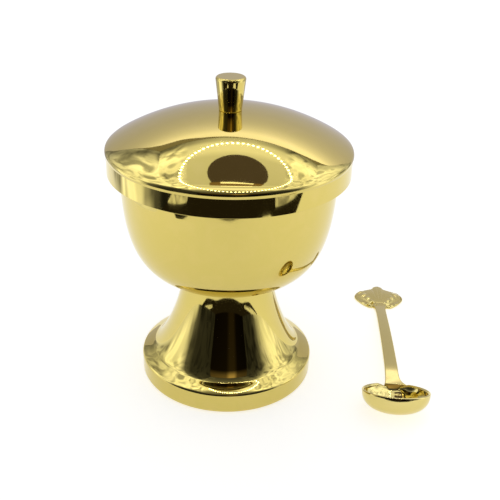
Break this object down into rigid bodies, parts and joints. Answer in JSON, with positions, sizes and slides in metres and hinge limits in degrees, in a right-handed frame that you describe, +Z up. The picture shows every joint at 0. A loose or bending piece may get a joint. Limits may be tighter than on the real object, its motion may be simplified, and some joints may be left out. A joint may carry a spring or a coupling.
{
  "type": "incense boat",
  "caption": "Round footed incense boat with a domed lift-off lid and a tapered knob, and a ladle spoon with a shell end lying beside it.",
  "frame": {"origin": "on the table, under the middle of the outer box of the boat and its spoon together", "axes": "+Z up along the boat's axis; +X from the boat towards the spoon; +Y away from the viewer, roughly along the spoon's handle from its bowl to its shell"},
  "size_m": [0.1282, 0.11, 0.1214],
  "materials": {
    "gold_plate": "mirror-polished gold plate on brass",
    "raw_brass": "plain turned brass",
    "zinc_steel": "zinc-plated steel"
  },
  "bodies": {
    "boat": {"foot": "gold_plate", "bowl": "gold_plate", "bowl_stud": "raw_brass", "bowl_washer": "raw_brass", "bowl_nut": "raw_brass"},
    "lid": {"lid": "gold_plate", "knob": "gold_plate", "knob_washer": "raw_brass", "knob_screw": "zinc_steel"},
    "spoon": {"spoon": "gold_plate"}
  },
  "joints": [
    {"name": "lid_lift", "type": "slide", "parent": "boat", "child": "lid", "axis": [0, 0, 1], "range_m": [0, 0.1]},
    {"name": "spoon_lift", "type": "slide", "parent": "boat", "child": "spoon", "axis": [0, 0, 1], "range_m": [0, 0.1]}
  ]
}
